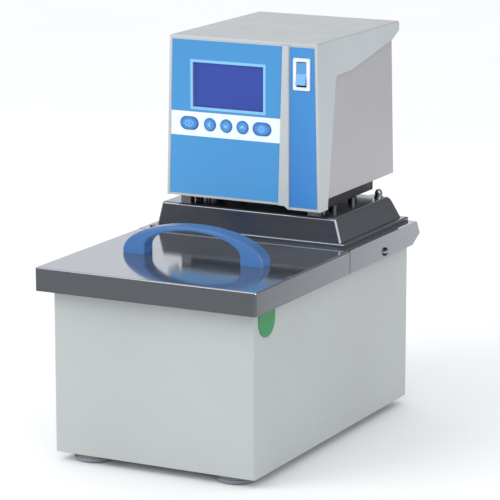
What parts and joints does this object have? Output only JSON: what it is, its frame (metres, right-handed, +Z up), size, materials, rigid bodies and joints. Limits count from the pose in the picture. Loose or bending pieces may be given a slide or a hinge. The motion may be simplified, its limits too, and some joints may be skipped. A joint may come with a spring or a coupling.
{
  "type": "heating circulator water bath",
  "caption": "Bench-top heated water bath: painted cabinet, stainless tank and lid with a bridge handle, and a pump head with a display, keys and a rocker switch.",
  "frame": {"origin": "on the surface the feet stand on, under the centre of the whole outline", "axes": "+Z up, the control panel faces -Y, +X to the right of a person facing it"},
  "size_m": [0.2672, 0.4376, 0.437],
  "materials": {
    "cabinet_paint": "satin",
    "stainless": "polished",
    "fasteners": "polished",
    "steel_parts": "satin",
    "brass": "satin",
    "drain_lever_plastic": "satin",
    "black_rubber": "matte",
    "silicone": "matte",
    "foam": "matte",
    "green_plastic": "satin",
    "blue_plastic": "satin",
    "dark_plate": "matte",
    "hood_plastic": "satin",
    "blue_film": "gloss",
    "strip_film": "gloss",
    "white_film": "gloss",
    "light_blue_film": "gloss",
    "display_window": "gloss",
    "display_module": "satin",
    "key_plastic": "satin",
    "circuit_board": "satin",
    "supply_parts": "satin",
    "white_plastic": "gloss",
    "rocker_blue": "gloss",
    "black_plastic": "satin",
    "motor_metal": "satin",
    "pump_plastic": "satin"
  },
  "bodies": {
    "bath_body": {"cabinet_shell": "cabinet_paint", "base_plate": "cabinet_paint", "rubber_feet": "black_rubber", "foot_screws": "fasteners", "green_tag": "green_plastic", "tank_flange": "stainless", "bath_tank": "stainless", "tank_insulation": "foam", "tank_seal": "silicone", "baffle_plate": "stainless", "drain_pipe": "steel_parts", "drain_valve": "brass", "deck_plate": "stainless", "deck_screws": "fasteners", "pump_plinth": "stainless", "cap_nuts": "fasteners", "head_supports": "steel_parts", "head_base_plate": "dark_plate", "head_case": "cabinet_paint", "head_hood": "hood_plastic", "rear_panel": "cabinet_paint", "rear_panel_screws": "fasteners", "mains_inlet": "black_plastic", "fuse_holders": "black_plastic", "probe_socket": "black_plastic", "front_bezel": "hood_plastic", "display_panel": "blue_film", "key_band": "white_film", "lcd_frame": "light_blue_film", "switch_strip": "strip_film", "lcd_window": "display_window", "lcd_module": "display_module", "key_board": "circuit_board", "rocker_frame": "white_plastic", "switch_body": "black_plastic", "rocker_pin": "steel_parts", "control_board": "circuit_board", "power_supply": "supply_parts", "pump_motor": "motor_metal", "pump_housing": "pump_plastic", "outlet_pipe": "steel_parts", "return_pipe": "steel_parts", "hose_nozzles": "steel_parts", "heater_coil": "steel_parts", "temperature_probe": "steel_parts", "level_rod": "steel_parts"},
    "lid": {"bath_lid": "stainless", "lid_handle": "blue_plastic", "handle_screws": "fasteners"},
    "rotor": {"motor_shaft": "steel_parts", "cooling_fan": "black_plastic", "pump_impeller": "pump_plastic"},
    "menu_key": {"key_menu": "key_plastic"},
    "left_key": {"key_left": "key_plastic"},
    "down_key": {"key_down": "key_plastic"},
    "up_key": {"key_up": "key_plastic"},
    "start_key": {"key_start": "key_plastic"},
    "rocker": {"power_rocker": "rocker_blue"},
    "float": {"level_float": "pump_plastic"},
    "drain_handle": {"drain_lever": "drain_lever_plastic"}
  },
  "joints": [
    {"name": "lid_lift", "type": "slide", "parent": "bath_body", "child": "lid", "axis": [0, -0.1961, 0.9806], "range_m": [0, 0.25]},
    {"name": "menu_press", "type": "slide", "parent": "bath_body", "child": "menu_key", "axis": [0, 1, 0], "range_m": [0, 0.001], "stiffness_N_per_m": 400},
    {"name": "left_press", "type": "slide", "parent": "bath_body", "child": "left_key", "axis": [0, 1, 0], "range_m": [0, 0.001], "stiffness_N_per_m": 400},
    {"name": "down_press", "type": "slide", "parent": "bath_body", "child": "down_key", "axis": [0, 1, 0], "range_m": [0, 0.001], "stiffness_N_per_m": 400},
    {"name": "up_press", "type": "slide", "parent": "bath_body", "child": "up_key", "axis": [0, 1, 0], "range_m": [0, 0.001], "stiffness_N_per_m": 400},
    {"name": "start_press", "type": "slide", "parent": "bath_body", "child": "start_key", "axis": [0, 1, 0], "range_m": [0, 0.001], "stiffness_N_per_m": 400},
    {"name": "rocker_tilt", "type": "hinge", "parent": "bath_body", "child": "rocker", "pos_m": [0.072, 0.007, 0.4035], "axis": [1, 0, 0], "range_deg": [0, 20]},
    {"name": "rotor_spin", "type": "hinge", "parent": "bath_body", "child": "rotor", "pos_m": [0, 0.095, 0.2], "axis": [0, 0, 1], "continuous": true},
    {"name": "float_rise", "type": "slide", "parent": "bath_body", "child": "float", "axis": [0, 0, 1], "range_m": [0, 0.04]},
    {"name": "drain_turn", "type": "hinge", "parent": "bath_body", "child": "drain_handle", "pos_m": [0.06, 0.19375, 0.0543], "axis": [0, 0, 1], "range_deg": [-90, 0]}
  ]
}
